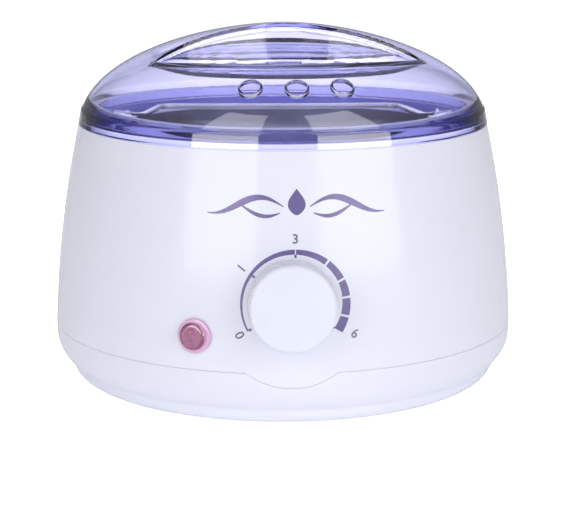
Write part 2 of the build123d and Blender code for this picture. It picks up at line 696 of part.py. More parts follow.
MAKERS = {
    "casing": make_casing,
    "base_tray": make_base_tray,
    "rubber_feet": make_feet,
    "case_screws": make_case_screws,
    "heating_well": make_heating_well,
    "well_screws": make_well_screws,
    "heater_band": make_heater_band,
    "heater_clamp": make_clamp_band,
    "clamp_screw": make_clamp_screw,
    "insulation": make_insulation,
    "heat_shield": make_heat_shield,
    "shield_screws": make_shield_screws,
    "wax_pot": make_pot,
    "bail_ears": make_ears,
    "ear_rivets": make_rivets,
    "bail": make_bail,
    "lid": make_lid,
    "knob": make_knob,
    "knob_clip": make_knob_clip,
    "control_shaft": make_shaft,
    "thermostat_frame": make_thermostat_frame,
    "thermostat_body": make_thermostat_body,
    "bimetal_strip": make_bimetal,
    "thermostat_tabs": make_thermostat_tabs,
    "control_screws": make_control_screws,
    "lamp_lens": make_lamp_lens,
    "lamp_nut": make_lamp_nut,
    "neon_bulb": make_neon_bulb,
    "cord_inlet": make_cord_inlet,
    "terminal_block": make_terminal_block,
    "terminal_screws": make_terminal_screws,
    "thermal_fuse": make_thermal_fuse,
    "fuse_clip": make_fuse_clip,
    "live_wire": make_live_wire,
    "neutral_wire": make_neutral_wire,
    "switched_wire": make_switched_wire,
    "lamp_wire": make_lamp_wire,
}

os.makedirs("parts", exist_ok=True)
for name, make in MAKERS.items():
    save(name, make())
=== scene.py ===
import json
import math
import bmesh
import bpy
from mathutils import Matrix, Vector
from mathutils.bvhtree import BVHTree


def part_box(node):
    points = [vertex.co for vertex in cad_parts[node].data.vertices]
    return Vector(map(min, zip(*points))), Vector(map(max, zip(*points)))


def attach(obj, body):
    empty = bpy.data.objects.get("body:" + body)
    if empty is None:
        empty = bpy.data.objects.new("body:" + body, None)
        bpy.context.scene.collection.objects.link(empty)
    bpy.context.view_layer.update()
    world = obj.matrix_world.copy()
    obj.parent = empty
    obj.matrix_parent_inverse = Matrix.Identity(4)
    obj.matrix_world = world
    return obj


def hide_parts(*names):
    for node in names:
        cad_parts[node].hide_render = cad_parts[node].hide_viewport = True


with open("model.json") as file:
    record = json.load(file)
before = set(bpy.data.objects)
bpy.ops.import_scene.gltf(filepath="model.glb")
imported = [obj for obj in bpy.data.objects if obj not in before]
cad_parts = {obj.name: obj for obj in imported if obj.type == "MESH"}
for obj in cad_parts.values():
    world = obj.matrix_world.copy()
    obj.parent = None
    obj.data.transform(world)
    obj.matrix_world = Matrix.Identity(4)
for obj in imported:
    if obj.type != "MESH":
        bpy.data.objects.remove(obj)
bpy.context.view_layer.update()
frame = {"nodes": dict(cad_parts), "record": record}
nodes = frame["nodes"]
MM = 0.001


# ---------------------------------------------------------------- shader maths

class Number:
    """A number that varies over a surface. Arithmetic on it adds the Math nodes."""

    def __init__(self, paint, socket):
        self.paint = paint
        self.socket = socket

    def math(self, operation, *values):
        return self.paint.value("ShaderNodeMath", {"operation": operation}, *values)

    def __add__(self, other):
        return self.math("ADD", self, other)

    def __sub__(self, other):
        return self.math("SUBTRACT", self, other)

    def __rsub__(self, other):
        return self.math("SUBTRACT", other, self)

    def __mul__(self, other):
        return self.math("MULTIPLY", self, other)

    __radd__ = __add__
    __rmul__ = __mul__

    def clamped(self):
        return self.paint.value("ShaderNodeClamp", {}, self)

    def above(self, level, soft):
        """0 below a level and 1 above it, with a soft step between."""
        return ((self - level) * (1 / soft)).clamped()


class Paint:
    """One finish: a Principled shader whose sockets are set or linked by name."""

    def __init__(self, name, **plain):
        self.material = bpy.data.materials.new(name)
        self.material.use_nodes = True
        self.tree = self.material.node_tree
        self.tree.nodes.clear()
        self.out = self.node("ShaderNodeOutputMaterial")
        self.shader = self.node("ShaderNodeBsdfPrincipled")
        self.tree.links.new(self.shader.outputs[0], self.out.inputs["Surface"])
        for socket, value in plain.items():
            self.put(socket.replace("_", " "), value)

    def put(self, socket, value):
        """Sets one of the shader's sockets, or links it."""
        self.feed(self.shader.inputs[socket], value)

    def feed(self, socket, value):
        if isinstance(value, Number):
            value = value.socket
        if isinstance(value, bpy.types.NodeSocket):
            self.tree.links.new(value, socket)
        elif socket.type == "RGBA" and len(value) == 3:
            socket.default_value = (*value, 1.0)
        else:
            socket.default_value = value

    def node(self, kind, settings=None, inputs=None):
        """Adds a node: its settings first, then the values or links of its sockets."""
        made = self.tree.nodes.new(kind)
        for key, value in (settings or {}).items():
            setattr(made, key, value)
        for key, value in (inputs or {}).items():
            self.feed(made.inputs[key], value)
        return made

    def value(self, kind, settings, *values):
        made = self.node(kind, settings, dict(enumerate(values)))
        return Number(self, made.outputs[0])

    def place(self):
        """Where a point lies on the piece, in metres."""
        return self.node("ShaderNodeTexCoord").outputs["Object"]

    def stretched(self, scale):
        mapping = self.node("ShaderNodeMapping", {}, {"Vector": self.place(), "Scale": scale})
        return mapping.outputs[0]

    def noise(self, scale, detail=3.0, roughness=0.5, vector=None):
        made = self.node("ShaderNodeTexNoise", {}, {
            "Vector": vector or self.place(), "Scale": scale, "Detail": detail,
            "Roughness": roughness})
        return Number(self, made.outputs["Fac"])

    def cells(self, scale, feature="F1", vector=None):
        made = self.node("ShaderNodeTexVoronoi", {"feature": feature}, {
            "Vector": vector or self.place(), "Scale": scale})
        return Number(self, made.outputs["Distance"])

    def mix(self, amount, low, high):
        """A colour between two, by an amount from 0 to 1."""
        made = self.node("ShaderNodeMix", {"data_type": "RGBA"})
        self.feed(made.inputs[0], amount)
        self.feed(made.inputs[6], low)
        self.feed(made.inputs[7], high)
        return made.outputs[2]

    def bump(self, height, strength, distance, under=None):
        inputs = {"Height": height, "Strength": strength, "Distance": distance}
        if under is not None:
            inputs["Normal"] = under
        return self.node("ShaderNodeBump", {}, inputs).outputs[0]

    def edges(self):
        """How far the surface is a worn outer edge, from its curvature."""
        geometry = self.node("ShaderNodeNewGeometry")
        return Number(self, geometry.outputs["Pointiness"])


def scratches(paint, across=(900, 40, 900)):
    """Sparse hairline marks from wiping, 1 on a mark and 0 off it."""
    lines = paint.noise(1.0, 2.0, 0.4, paint.stretched(across))
    patches = paint.noise(30.0, 2.0)
    return lines.above(0.68, 0.05) * patches.above(0.5, 0.15)


def moulded_plastic(name, colour, shade, rough, gloss=0.1, waviness=0.08):
    """Injection-moulded plastic: flow tint, orange peel, wiped scratches, handling haze."""
    paint = Paint(name, IOR=1.5, Specular_IOR_Level=gloss)
    flow = paint.noise(9.0, 2.0, 0.5)
    worn = paint.edges().above(0.52, 0.06)
    tint = paint.mix(flow.above(0.35, 0.4), shade, colour)
    paint.put("Base Color", paint.mix(worn * 0.25, tint, [min(1, c * 1.04) for c in colour]))
    haze = paint.noise(24.0, 4.0, 0.6)
    marks = scratches(paint)
    paint.put("Roughness", rough + haze * (rough * 0.5) + marks * 0.12)
    peel = paint.noise(420.0, 2.0, 0.5)
    wave = paint.noise(28.0, 1.0, 0.4)
    lifted = paint.bump(wave, waviness, 0.0004)
    paint.put("Normal", paint.bump(peel + marks * -0.6, 0.05, 0.0001, lifted))
    return paint.material


def clear_plastic(name, absorb, density, glow, rough=0.015, ior=1.49):
    """Tinted clear plastic that darkens with its thickness and lets lamps light what is inside."""
    paint = Paint(name, IOR=ior, Transmission_Weight=1.0, Base_Color=(1.0, 1.0, 1.0))
    haze = paint.noise(26.0, 3.0, 0.6)
    marks = scratches(paint, (700, 60, 700))
    paint.put("Roughness", rough + haze * 0.02 + marks * 0.1)
    flow = paint.noise(22.0, 1.0, 0.4)
    fine = paint.noise(300.0, 2.0, 0.5)
    paint.put("Normal", paint.bump(fine + marks * -0.5, 0.03, 0.0001,
                                   paint.bump(flow, 0.06, 0.0005)))
    passing = paint.node("ShaderNodeBsdfTransparent", {}, {"Color": glow})
    path = paint.node("ShaderNodeLightPath")
    both = paint.node("ShaderNodeMixShader", {}, {
        0: path.outputs["Is Shadow Ray"], 1: paint.shader.outputs[0], 2: passing.outputs[0]})
    paint.feed(paint.out.inputs["Surface"], both.outputs[0])
    body = paint.node("ShaderNodeVolumeAbsorption", {}, {"Color": absorb, "Density": density})
    paint.feed(paint.out.inputs["Volume"], body.outputs[0])
    return paint.material


def bare_metal(name, colour, rough, grain, dark, lathe=False):
    """Bare metal with a drawn or turned grain, dull patches and small dings."""
    paint = Paint(name, Metallic=1.0)
    dull = paint.noise(38.0, 5.0, 0.62)
    paint.put("Base Color", paint.mix(dull.above(0.3, 0.5), dark, colour))
    if lathe:
        lines = paint.noise(1.0, 3.0, 0.6, paint.stretched((30, 30, 2400)))
    else:
        lines = paint.noise(1.0, 3.0, 0.6, paint.stretched((grain, 60, grain)))
    marks = scratches(paint, (500, 500, 60))
    paint.put("Roughness", rough + dull * 0.14 + lines * 0.1 + marks * 0.1)
    dings = paint.cells(90.0)
    paint.put("Normal", paint.bump(lines, 0.12, 0.0001, paint.bump(dings, 0.05, 0.0004)))
    return paint.material


def soft_rubber(name, colour, dust):
    """Matt rubber with a fine grain and dust caught on it."""
    paint = Paint(name, IOR=1.5, Sheen_Weight=0.15)
    settled = paint.noise(180.0, 4.0, 0.6).above(0.5, 0.3)
    paint.put("Base Color", paint.mix(settled * 0.5, colour, dust))
    grain = paint.noise(900.0, 3.0, 0.6)
    paint.put("Roughness", 0.62 + grain * 0.2)
    paint.put("Normal", paint.bump(grain, 0.25, 0.0002))
    return paint.material


def dull_solid(name, colour, second, scale, rough=0.55, bump=0.2):
    """Matt mineral, nylon or wire insulation with a mottled second colour."""
    paint = Paint(name, IOR=1.5)
    mottle = paint.noise(scale, 4.0, 0.6)
    paint.put("Base Color", paint.mix(mottle.above(0.4, 0.25), colour, second))
    paint.put("Roughness", rough + mottle * 0.15)
    paint.put("Normal", paint.bump(paint.noise(scale * 6, 2.0), bump, 0.0002))
    return paint.material


def woven_fibre(name, colour, gap):
    """Coarse woven glass-fibre cloth."""
    paint = Paint(name, IOR=1.45, Sheen_Weight=0.3)
    warp = paint.node("ShaderNodeTexWave", {"bands_direction": "Z"}, {
        "Vector": paint.place(), "Scale": 160.0, "Distortion": 0.6})
    weft = paint.node("ShaderNodeTexWave", {"bands_direction": "X"}, {
        "Vector": paint.place(), "Scale": 160.0, "Distortion": 0.6})
    cloth = Number(paint, warp.outputs["Fac"]) * Number(paint, weft.outputs["Fac"])
    paint.put("Base Color", paint.mix(cloth.above(0.1, 0.4), gap, colour))
    paint.put("Roughness", 0.75 + cloth * 0.1)
    paint.put("Normal", paint.bump(cloth, 0.5, 0.0004))
    return paint.material


def printed_ink(name, colour, thin):
    """Pad-printed ink: slightly uneven cover and a satin surface."""
    paint = Paint(name, IOR=1.5)
    cover = paint.noise(260.0, 4.0, 0.65)
    paint.put("Base Color", paint.mix(cover.above(0.35, 0.3), thin, colour))
    paint.put("Roughness", 0.3 + cover * 0.15)
    paint.put("Normal", paint.bump(cover, 0.08, 0.0001))
    return paint.material


def glass_bulb(name):
    """Thin clear glass with faint draw lines."""
    paint = Paint(name, IOR=1.45, Transmission_Weight=1.0, Base_Color=(1.0, 0.98, 0.96))
    lines = paint.noise(1.0, 2.0, 0.5, paint.stretched((900, 90, 900)))
    paint.put("Roughness", 0.01 + lines * 0.03)
    paint.put("Normal", paint.bump(lines, 0.05, 0.0001))
    return paint.material


LAMP_BEARING = -22.5        # degrees round from the front
PRISM_SCALE = 720.0
RING_SCALE = 5200.0
LENS_GROOVE = (0.0040, 0.0047)
LENS_RIM = 0.0049


def jewel_plastic(name, pale, bright, deep):
    """Magenta lamp lens: prisms moulded behind a polished face, each with a painted highlight and
    painted shade, a painted shade in the ring groove, and a paler rim.
    """
    paint = Paint(name, IOR=1.5, Coat_Weight=1.0, Coat_Roughness=0.03)
    low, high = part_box("lamp_lens")
    turn = math.radians(LAMP_BEARING)
    axis = (math.sin(turn), -math.cos(turn), 0.0)
    centre = (low + high) / 2
    away = paint.node("ShaderNodeVectorMath", {"operation": "SUBTRACT"}, {
        0: paint.place(), 1: tuple(centre)})
    across = paint.node("ShaderNodeVectorMath", {"operation": "CROSS_PRODUCT"}, {
        0: away.outputs["Vector"], 1: axis})
    length = paint.node("ShaderNodeVectorMath", {"operation": "LENGTH"}, {
        0: across.outputs["Vector"]})
    radius = Number(paint, length.outputs["Value"])
    prisms = paint.cells(PRISM_SCALE)
    edges = paint.cells(PRISM_SCALE, "DISTANCE_TO_EDGE")
    rings = paint.value("ShaderNodeMath", {"operation": "SINE"}, radius * RING_SCALE)
    # Painted light: each prism is painted bright in its middle and dark towards its edges, and faint
    # rings are painted lighter and darker.
    inside = paint.mix((prisms * 0.9 + rings * 0.12).clamped(), bright, deep)
    # Painted shade: the ring groove is painted darker.
    groove_shade = radius.above(LENS_GROOVE[0], 0.0004) * (1 - radius.above(LENS_GROOVE[1], 0.0003))
    shaded = paint.mix(groove_shade * 0.75, inside, deep)
    paint.put("Base Color", paint.mix(radius.above(LENS_RIM, 0.0003), shaded, pale))
    paint.put("Roughness", 0.12 + prisms * 0.1)
    paint.put("Normal", paint.bump(edges, 0.35, 0.0003))
    return paint.material


WHITE = (0.85, 0.86, 0.955)
finishes = {
    "white_abs": moulded_plastic("white_abs", WHITE, (0.835, 0.845, 0.945), 0.11),
    "knob_abs": moulded_plastic("knob_abs", (0.83, 0.845, 0.93), (0.81, 0.83, 0.92), 0.22),
    "violet_clear": clear_plastic("violet_clear", (0.10, 0.09, 0.64), 190.0, (0.80, 0.80, 0.97)),
    "magenta_clear": jewel_plastic("magenta_clear", (0.74, 0.42, 0.66), (0.40, 0.11, 0.24),
                                   (0.20, 0.03, 0.12)),
    "aluminium": bare_metal("aluminium", (0.86, 0.87, 0.89), 0.07, 1400, (0.74, 0.75, 0.78), True),
    "bright_wire": bare_metal("bright_wire", (0.80, 0.79, 0.80), 0.12, 1200, (0.55, 0.54, 0.56)),
    "zinc_steel": bare_metal("zinc_steel", (0.68, 0.69, 0.72), 0.28, 1100, (0.52, 0.52, 0.55)),
    "spring_steel": bare_metal("spring_steel", (0.52, 0.53, 0.56), 0.25, 1300, (0.36, 0.36, 0.4)),
    "brass": bare_metal("brass", (0.86, 0.66, 0.30), 0.24, 1100, (0.60, 0.42, 0.18)),
    "rubber_grey": soft_rubber("rubber_grey", (0.45, 0.45, 0.47), (0.66, 0.66, 0.66)),
    "rubber_white": soft_rubber("rubber_white", (0.72, 0.73, 0.78), (0.80, 0.80, 0.80)),
    "mica": dull_solid("mica", (0.52, 0.42, 0.26), (0.66, 0.58, 0.42), 120.0, 0.35),
    "glass_fibre": woven_fibre("glass_fibre", (0.82, 0.82, 0.77), (0.5, 0.5, 0.46)),
    "steatite": dull_solid("steatite", (0.78, 0.74, 0.66), (0.70, 0.66, 0.58), 260.0, 0.6),
    "clear_glass": glass_bulb("clear_glass"),
    "nylon": dull_solid("nylon", (0.80, 0.79, 0.72), (0.74, 0.73, 0.66), 140.0, 0.4, 0.08),
    "wire_brown": dull_solid("wire_brown", (0.14, 0.06, 0.03), (0.18, 0.08, 0.04), 300.0, 0.38, 0.1),
    "wire_blue": dull_solid("wire_blue", (0.03, 0.09, 0.38), (0.04, 0.12, 0.45), 300.0, 0.38, 0.1),
    "wire_white": dull_solid("wire_white", (0.78, 0.78, 0.76), (0.7, 0.7, 0.68), 300.0, 0.4, 0.1),
}
ink = printed_ink("violet_ink", (0.085, 0.055, 0.22), (0.12, 0.085, 0.28))
grey_ink = printed_ink("grey_ink", (0.10, 0.085, 0.17), (0.15, 0.13, 0.22))

for entry in frame["record"]["subparts"]:
    node = nodes[entry["node"]]
    node.data.materials.clear()
    node.data.materials.append(finishes[entry["material_slot"]])


# ---------------------------------------------------------------- pieces

def place(name, mesh_data, body, material, smooth=True):
    """Puts a finished mesh into the scene, riding on a body."""
    piece = bpy.data.objects.new(name, mesh_data)
    bpy.context.scene.collection.objects.link(piece)
    mesh_data.materials.append(material)
    if smooth:
        for face in mesh_data.polygons:
            face.use_smooth = True
    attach(piece, body)
    return piece


# ---------------------------------------------------------------- lid, in millimetres until placed

lid_low, lid_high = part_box("lid")
LID_BASE = lid_low.z / MM
LID_TOP = lid_high.z / MM
DOME_R = 79.95
DOME_Z = 95.0
DOME_POWER_R = 1.69
DOME_POWER_Z = 2.35
DOME_CAP_R = 79.0           # the dome's formula is steep past this
WALL = 1.6
SKIRT_Z = 106.2
SKIRT_STEP = 0.7
SCOOP_FLOOR = 122.5
SCOOP_FLAT = 33.0
SCOOP_END_RISE = 3.1
SCOOP_END_REACH = 21.0
GRIP_HALF = 4.4
GRIP_R = 84.7
GRIP_DRAFT = 0.24
LIP_R = 61.0
LIP_Y = 9.0
LIP_DRAFT = 0.16
LIP_TOP = 127.2
LIP_BLEND = 3.2
GRIP_BLEND = 4.0
EDGE_BLEND = 1.1
LID_TURN = math.radians(2.3)
VENT_R = 3.6
VENT_RING = 65.7
VENT_STEP = math.radians(14.5)
VENT_RIM = 0.46
VENT_FLARE = 0.45
INNER_R = 62.0
LID_FOOT = 99.7
FLANGE_R = 74.9
FLANGE_T = 3.0
BELT_Z = 102.3
BELT_TOP_Z = 106.0
EDGE_ROWS = 8
SCOOP_ROWS = 52
LID_SPOKES = 360


def dome_radius(z):
    rise = (z - DOME_Z) / (LID_TOP - DOME_Z)
    return DOME_R * (1 - rise ** DOME_POWER_Z) ** (1 / DOME_POWER_R)


def dome_height(r):
    return DOME_Z + (LID_TOP - DOME_Z) * (1 - (r / DOME_R) ** DOME_POWER_R) ** (1 / DOME_POWER_Z)


def dome_normal(r):
    """(outward, upward) parts of the dome's unit normal."""
    step = 0.01
    fall = (dome_height(max(r - step, 0)) - dome_height(r + step)) / (2 * step)
    length = math.hypot(1, fall)
    return fall / length, 1 / length


def soft_min(a, b, k):
    """The lower of two heights, rounded where they cross."""
    blend = max(k - abs(a - b), 0) / k
    return min(a, b) - blend * blend * k / 4


def soft_max(a, b, k):
    return -soft_min(-a, -b, k)


def scoop_height(x, y, grow):
    """Height of the hollow beside the grip ridge, high outside its outline."""
    y = -abs(y)
    past = max(abs(x) - SCOOP_FLAT, 0)
    floor = SCOOP_FLOOR - grow + SCOOP_END_RISE * (past / SCOOP_END_REACH) ** 2
    from_grip = math.hypot(x, y + GRIP_HALF + GRIP_R)
    grip = LID_TOP + (from_grip - GRIP_R - grow) / GRIP_DRAFT
    from_lip = math.hypot(x, y - LIP_Y)
    lip = LIP_TOP + (from_lip - LIP_R - grow) / LIP_DRAFT
    return soft_max(soft_max(floor, lip, LIP_BLEND + grow), grip, GRIP_BLEND + grow)


def lid_lines(t, grow):
    """Front-to-back line across the lid's middle as (x, y) points, close at the scoops' edges."""
    x = INNER_R * math.sin(t)
    half = INNER_R * math.cos(t)
    if half < 0.01:
        return [(x, 0.0)]
    lip = math.sqrt(max((LIP_R + grow) ** 2 - x * x, 0)) - LIP_Y
    grip = GRIP_HALF + GRIP_R - math.sqrt((GRIP_R + grow) ** 2 - x * x)
    lip = min(max(lip / half, 0.14), 0.9)
    grip = min(max(grip / half, 0.06), lip - 0.06)
    shares = [1 - (1 - lip) * i / EDGE_ROWS for i in range(EDGE_ROWS)]
    for i in range(SCOOP_ROWS):
        step = i / SCOOP_ROWS
        shares.append(lip + (grip - lip) * step * step * (3 - 2 * step))
    shares += [grip * (1 - i / EDGE_ROWS) for i in range(EDGE_ROWS)]
    front = [(x, -half * share) for share in shares]
    return front + [(x, 0.0)] + [(x, -y) for _, y in front[::-1]]


def lid_height(x, y, grow):
    """Height of the outer (grow 0) or inner (grow = wall) skin over a point of the middle."""
    r = math.hypot(x, y)
    roof = dome_height(r)
    if grow:
        out, up = dome_normal(r)
        roof = dome_height(min(r + grow * out, DOME_CAP_R)) - grow * up
    return soft_min(roof, scoop_height(x, y, grow), EDGE_BLEND + grow)


def lid_outside():
    """Outer skin beyond the middle as (radius, height) points, down to the foot."""
    edge = dome_radius(SKIRT_Z)
    line = []
    for i in range(1, 29):
        r = INNER_R + (edge - INNER_R) * (1 - (1 - i / 28) ** 1.7)
        line.append((r, dome_height(r)))
    foot = dome_radius(LID_FOOT)
    top = edge + SKIRT_STEP
    line += [(edge + SKIRT_STEP * 0.15, SKIRT_Z - 0.25), (edge + SKIRT_STEP * 0.6, SKIRT_Z - 0.5)]
    for i in range(7):
        t = i / 7
        line.append((top + (foot - top) * t, SKIRT_Z - 0.9 + (LID_FOOT + 1.2 - SKIRT_Z) * t))
    return line + [(foot, LID_FOOT + 0.3), (foot - 0.3, LID_FOOT)]


def lid_inside():
    """Inner skin beyond the middle: under the dome, round the flange and up to the foot."""
    line = []
    start = INNER_R + WALL * dome_normal(INNER_R + 1)[0]
    edge = dome_radius(SKIRT_Z) - 0.4
    for i in range(1, 17):
        r = start + (edge - start) * i / 16
        out, up = dome_normal(r)
        line.append((r - WALL * out, dome_height(r) - WALL * up))
    inner = FLANGE_R - FLANGE_T
    line = [point for point in line if point[1] > BELT_TOP_Z + 0.5]
    line += [(line[-1][0] + 0.1, BELT_TOP_Z + 0.15), (line[-1][0] - 0.4, BELT_TOP_Z),
             (inner + 0.5, BELT_TOP_Z), (inner + 0.1, BELT_TOP_Z - 0.2), (inner, BELT_TOP_Z - 0.6),
             (inner, 101.0), (inner, LID_BASE + 0.4), (inner + 0.12, LID_BASE + 0.12),
             (inner + 0.4, LID_BASE), (FLANGE_R - 0.4, LID_BASE),
             (FLANGE_R - 0.12, LID_BASE + 0.12), (FLANGE_R, LID_BASE + 0.4),
             (FLANGE_R, BELT_Z - 0.6), (FLANGE_R + 0.3, BELT_Z - 0.2), (FLANGE_R + 0.9, BELT_Z)]
    skirt = dome_radius(LID_FOOT) - WALL
    return line + [(skirt - 0.9, BELT_Z), (skirt - 0.3, BELT_Z - 0.2), (skirt, BELT_Z - 0.6),
                   (skirt, LID_FOOT + 0.3), (skirt + 0.3, LID_FOOT)]


def lid_skin(bm, grow, rim_line):
    """Adds one skin of the lid and returns its outermost loop of points."""
    rows = []
    for degree in range(-90, 91):
        line = lid_lines(math.radians(degree), grow)
        rows.append([bm.verts.new((x * MM, y * MM, lid_height(x, y, grow) * MM)) for x, y in line])
    for here, after in zip(rows, rows[1:]):
        for j in range(max(len(here), len(after)) - 1):
            corners = [here[min(j, len(here) - 1)], after[min(j, len(after) - 1)],
                       after[min(j + 1, len(after) - 1)], here[min(j + 1, len(here) - 1)]]
            bm.faces.new(list(dict.fromkeys(corners)))
    loop = [row[0] for row in rows] + [row[-1] for row in rows[-2:0:-1]]
    for r, z in rim_line:
        after = []
        for i in range(LID_SPOKES):
            turn = math.radians(i - 90)
            after.append(bm.verts.new((r * math.sin(turn) * MM, -r * math.cos(turn) * MM, z * MM)))
        join(bm, loop, after)
        loop = after
    return loop


def join(bm, loop, after):
    """Bridges two closed loops of as many points."""
    for i in range(len(loop)):
        k = (i + 1) % len(loop)
        bm.faces.new((loop[i], loop[k], after[k], after[i]))


def lid_mesh():
    """Closed shell of the lid from its two skins."""
    bm = bmesh.new()
    outer = lid_skin(bm, 0.0, lid_outside())
    inner = lid_skin(bm, WALL, lid_inside())
    join(bm, outer, inner)
    bmesh.ops.recalc_face_normals(bm, faces=bm.faces)
    bm.transform(Matrix.Rotation(LID_TURN, 4, "Z"))
    mesh = bpy.data.meshes.new("lid_shell")
    bm.to_mesh(mesh)
    bm.free()
    return mesh


def torus(bm, at, direction, ring_r, tube_r, around=64, tube=12):
    """Adds a closed ring of round section."""
    turn = Matrix.Translation(at) @ direction.to_track_quat("Z", "Y").to_matrix().to_4x4()
    loops = []
    for i in range(around):
        a = 2 * math.pi * i / around
        loop = []
        for k in range(tube):
            b = 2 * math.pi * k / tube
            r = ring_r + tube_r * math.cos(b)
            loop.append(bm.verts.new(turn @ Vector((r * math.cos(a), r * math.sin(a),
                                                    tube_r * math.sin(b)))))
        loops.append(loop)
    for i in range(around):
        join(bm, loops[i], loops[(i + 1) % around])


def combined(mesh, tool_mesh, operation):
    """A mesh with another one added to it or cut from it."""
    blank = bpy.data.objects.new("blank", mesh)
    tool = bpy.data.objects.new("tool", tool_mesh)
    for thing in (blank, tool):
        bpy.context.scene.collection.objects.link(thing)
    cut = blank.modifiers.new("cut", "BOOLEAN")
    cut.object = tool
    cut.operation = operation
    cut.solver = "EXACT"
    view = bpy.context.evaluated_depsgraph_get()
    result = bpy.data.meshes.new_from_object(blank.evaluated_get(view))
    for thing in (blank, tool):
        bpy.data.objects.remove(thing)
    return result


def finished(bm, name):
    """Turns a bmesh into a mesh with its faces pointing out."""
    bmesh.ops.recalc_face_normals(bm, faces=bm.faces)
    mesh = bpy.data.meshes.new(name)
    bm.to_mesh(mesh)
    bm.free()
    return mesh


def make_lid():
    """The lid, with three vents that have a fine raised rim and widen inwards."""
    out, up = dome_normal(VENT_RING)
    rims = bmesh.new()
    cores = bmesh.new()
    for step in (-1, 0, 1):
        turn = LID_TURN + step * VENT_STEP
        at = Vector((VENT_RING * math.sin(turn), -VENT_RING * math.cos(turn),
                     dome_height(VENT_RING))) * MM
        direction = Vector((out * math.sin(turn), -out * math.cos(turn), up))
        torus(rims, at, direction, (VENT_R + 0.3) * MM, VENT_RIM * MM)
        pose = Matrix.Translation(at) @ direction.to_track_quat("Z", "Y").to_matrix().to_4x4()
        bmesh.ops.create_cone(cores, cap_ends=True, segments=72, depth=8 * MM, matrix=pose,
                              radius1=(VENT_R + 4 * VENT_FLARE) * MM,
                              radius2=(VENT_R - 4 * VENT_FLARE) * MM)
    mesh = combined(lid_mesh(), finished(rims, "rims"), "UNION")
    mesh = combined(mesh, finished(cores, "cores"), "DIFFERENCE")
    piece = place("lid_shell", mesh, "lid", finishes["violet_clear"])
    mesh.set_sharp_from_angle(angle=math.radians(35))
    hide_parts("lid")


make_lid()

# ---------------------------------------------------------------- print on the casing

INK_LIFT = 0.05
INK_SINK = 0.03
DIAL_X = 1.25
DIAL_Z = 46.5
DIAL_R = 19.4
DIAL_OFF = -119.0
DIAL_ON = -56.0
DIAL_HIGH = 121.7
DIAL_GAPS = (0.0, 37.3, 62.8, 83.0, 103.9)
DIAL_GAP_HALF = 1.25
ORNAMENT_X = 1.8
ORNAMENT_Z = 82.0

casing_mesh = nodes["casing"].data
casing_faces = BVHTree.FromPolygons([v.co for v in casing_mesh.vertices],
                                    [p.vertices for p in casing_mesh.polygons])


def on_wall(x, z, lift):
    """Point of the casing's front wall at x and z, moved out by a lift."""
    hit, normal, _, _ = casing_faces.ray_cast(Vector((x, -200, z)) * MM, Vector((0, 1, 0)))
    if normal.y > 0:
        normal = -normal
    return hit + normal * (lift * MM)


def slab(bm, rows):
    """Adds a film of ink over a grid of (x, z) points."""
    top = [[bm.verts.new(on_wall(x, z, INK_LIFT)) for x, z in row] for row in rows]
    low = [[bm.verts.new(on_wall(x, z, -INK_SINK)) for x, z in row] for row in rows]
    for sheet in (top, low):
        for here, after in zip(sheet, sheet[1:]):
            for j in range(len(here) - 1):
                bm.faces.new((here[j], here[j + 1], after[j + 1], after[j]))
    rims = []
    for sheet in (top, low):
        rims.append(sheet[0] + [row[-1] for row in sheet[1:]] + sheet[-1][-2::-1]
                    + [row[0] for row in sheet[-2:0:-1]])
    join(bm, rims[0], rims[1])


def scale_width(degrees):
    """Width of the dial's crescent, from a hairline at off to a bold band at high."""
    share = (degrees - DIAL_OFF) / (DIAL_HIGH - DIAL_OFF)
    return 0.55 + 2.75 * share ** 1.15


def dial_point(degrees, radius):
    turn = math.radians(degrees)
    return DIAL_X + radius * math.sin(turn), DIAL_Z + radius * math.cos(turn)


def crescent(bm, start, stop):
    steps = max(4, round((stop - start) / 2))
    rows = []
    for i in range(steps + 1):
        degrees = start + (stop - start) * i / steps
        inner = DIAL_R - scale_width(degrees)
        rows.append([dial_point(degrees, inner + (DIAL_R - inner) * k / 3) for k in range(4)])
    slab(bm, rows)


def tick(bm, degrees, inner, outer, width):
    half = math.degrees(width / 2 / DIAL_R)
    rows = []
    for i in range(3):
        side = degrees + half * (i - 1)
        rows.append([dial_point(side, inner + (outer - inner) * k / 2) for k in range(3)])
    slab(bm, rows)


def make_scale():
    """Crescent scale round the knob, with a short tick at each named setting."""
    bm = bmesh.new()
    edges = [DIAL_OFF]
    for gap in DIAL_GAPS:
        edges += [gap - DIAL_GAP_HALF * (0.5 if gap == 0 else 1)]
        edges += [gap + DIAL_GAP_HALF * (0.5 if gap == 0 else 1)]
    edges.append(DIAL_HIGH)
    for start, stop in zip(edges[::2], edges[1::2]):
        crescent(bm, start, stop)
    for degrees in (DIAL_OFF, DIAL_ON, 0.0, DIAL_HIGH):
        inner = DIAL_R - scale_width(degrees)
        tick(bm, degrees, inner - 1.1, inner - 0.02, 0.9)
    place("dial_scale", finished(bm, "dial_scale"), "warmer", ink, False)


